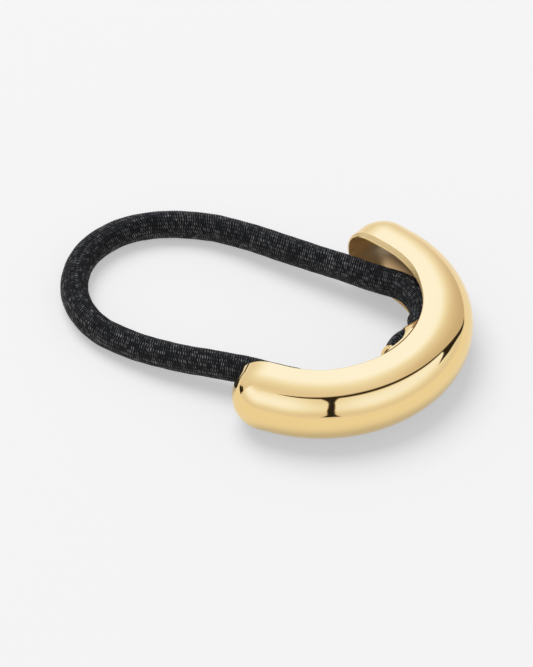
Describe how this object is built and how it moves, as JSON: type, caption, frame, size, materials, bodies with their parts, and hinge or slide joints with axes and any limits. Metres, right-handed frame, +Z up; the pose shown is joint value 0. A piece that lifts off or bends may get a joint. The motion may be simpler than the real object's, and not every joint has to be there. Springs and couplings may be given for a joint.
{
  "type": "ponytail cuff",
  "caption": "Polished hollow metal arc with a slotted back plate and a closed loop of round black elastic, for covering the tie of a ponytail.",
  "frame": {"origin": "middle of the metal shell's box on the surface it lies on, without the elastic", "axes": "+Z up off the surface, across the shell's height; +X towards the outside of the arc's middle, so the elastic loop reaches out towards -X; Y across the shell from arm to arm"},
  "size_m": [0.0688, 0.049, 0.0108],
  "materials": {
    "metal": "mirror polished, pale gold",
    "plate_metal": "polished, pale gold",
    "elastic": "fine knitted cover, matt black"
  },
  "bodies": {
    "root": {"shell": "metal", "back_plate": "plate_metal", "elastic": "elastic"}
  },
  "joints": []
}
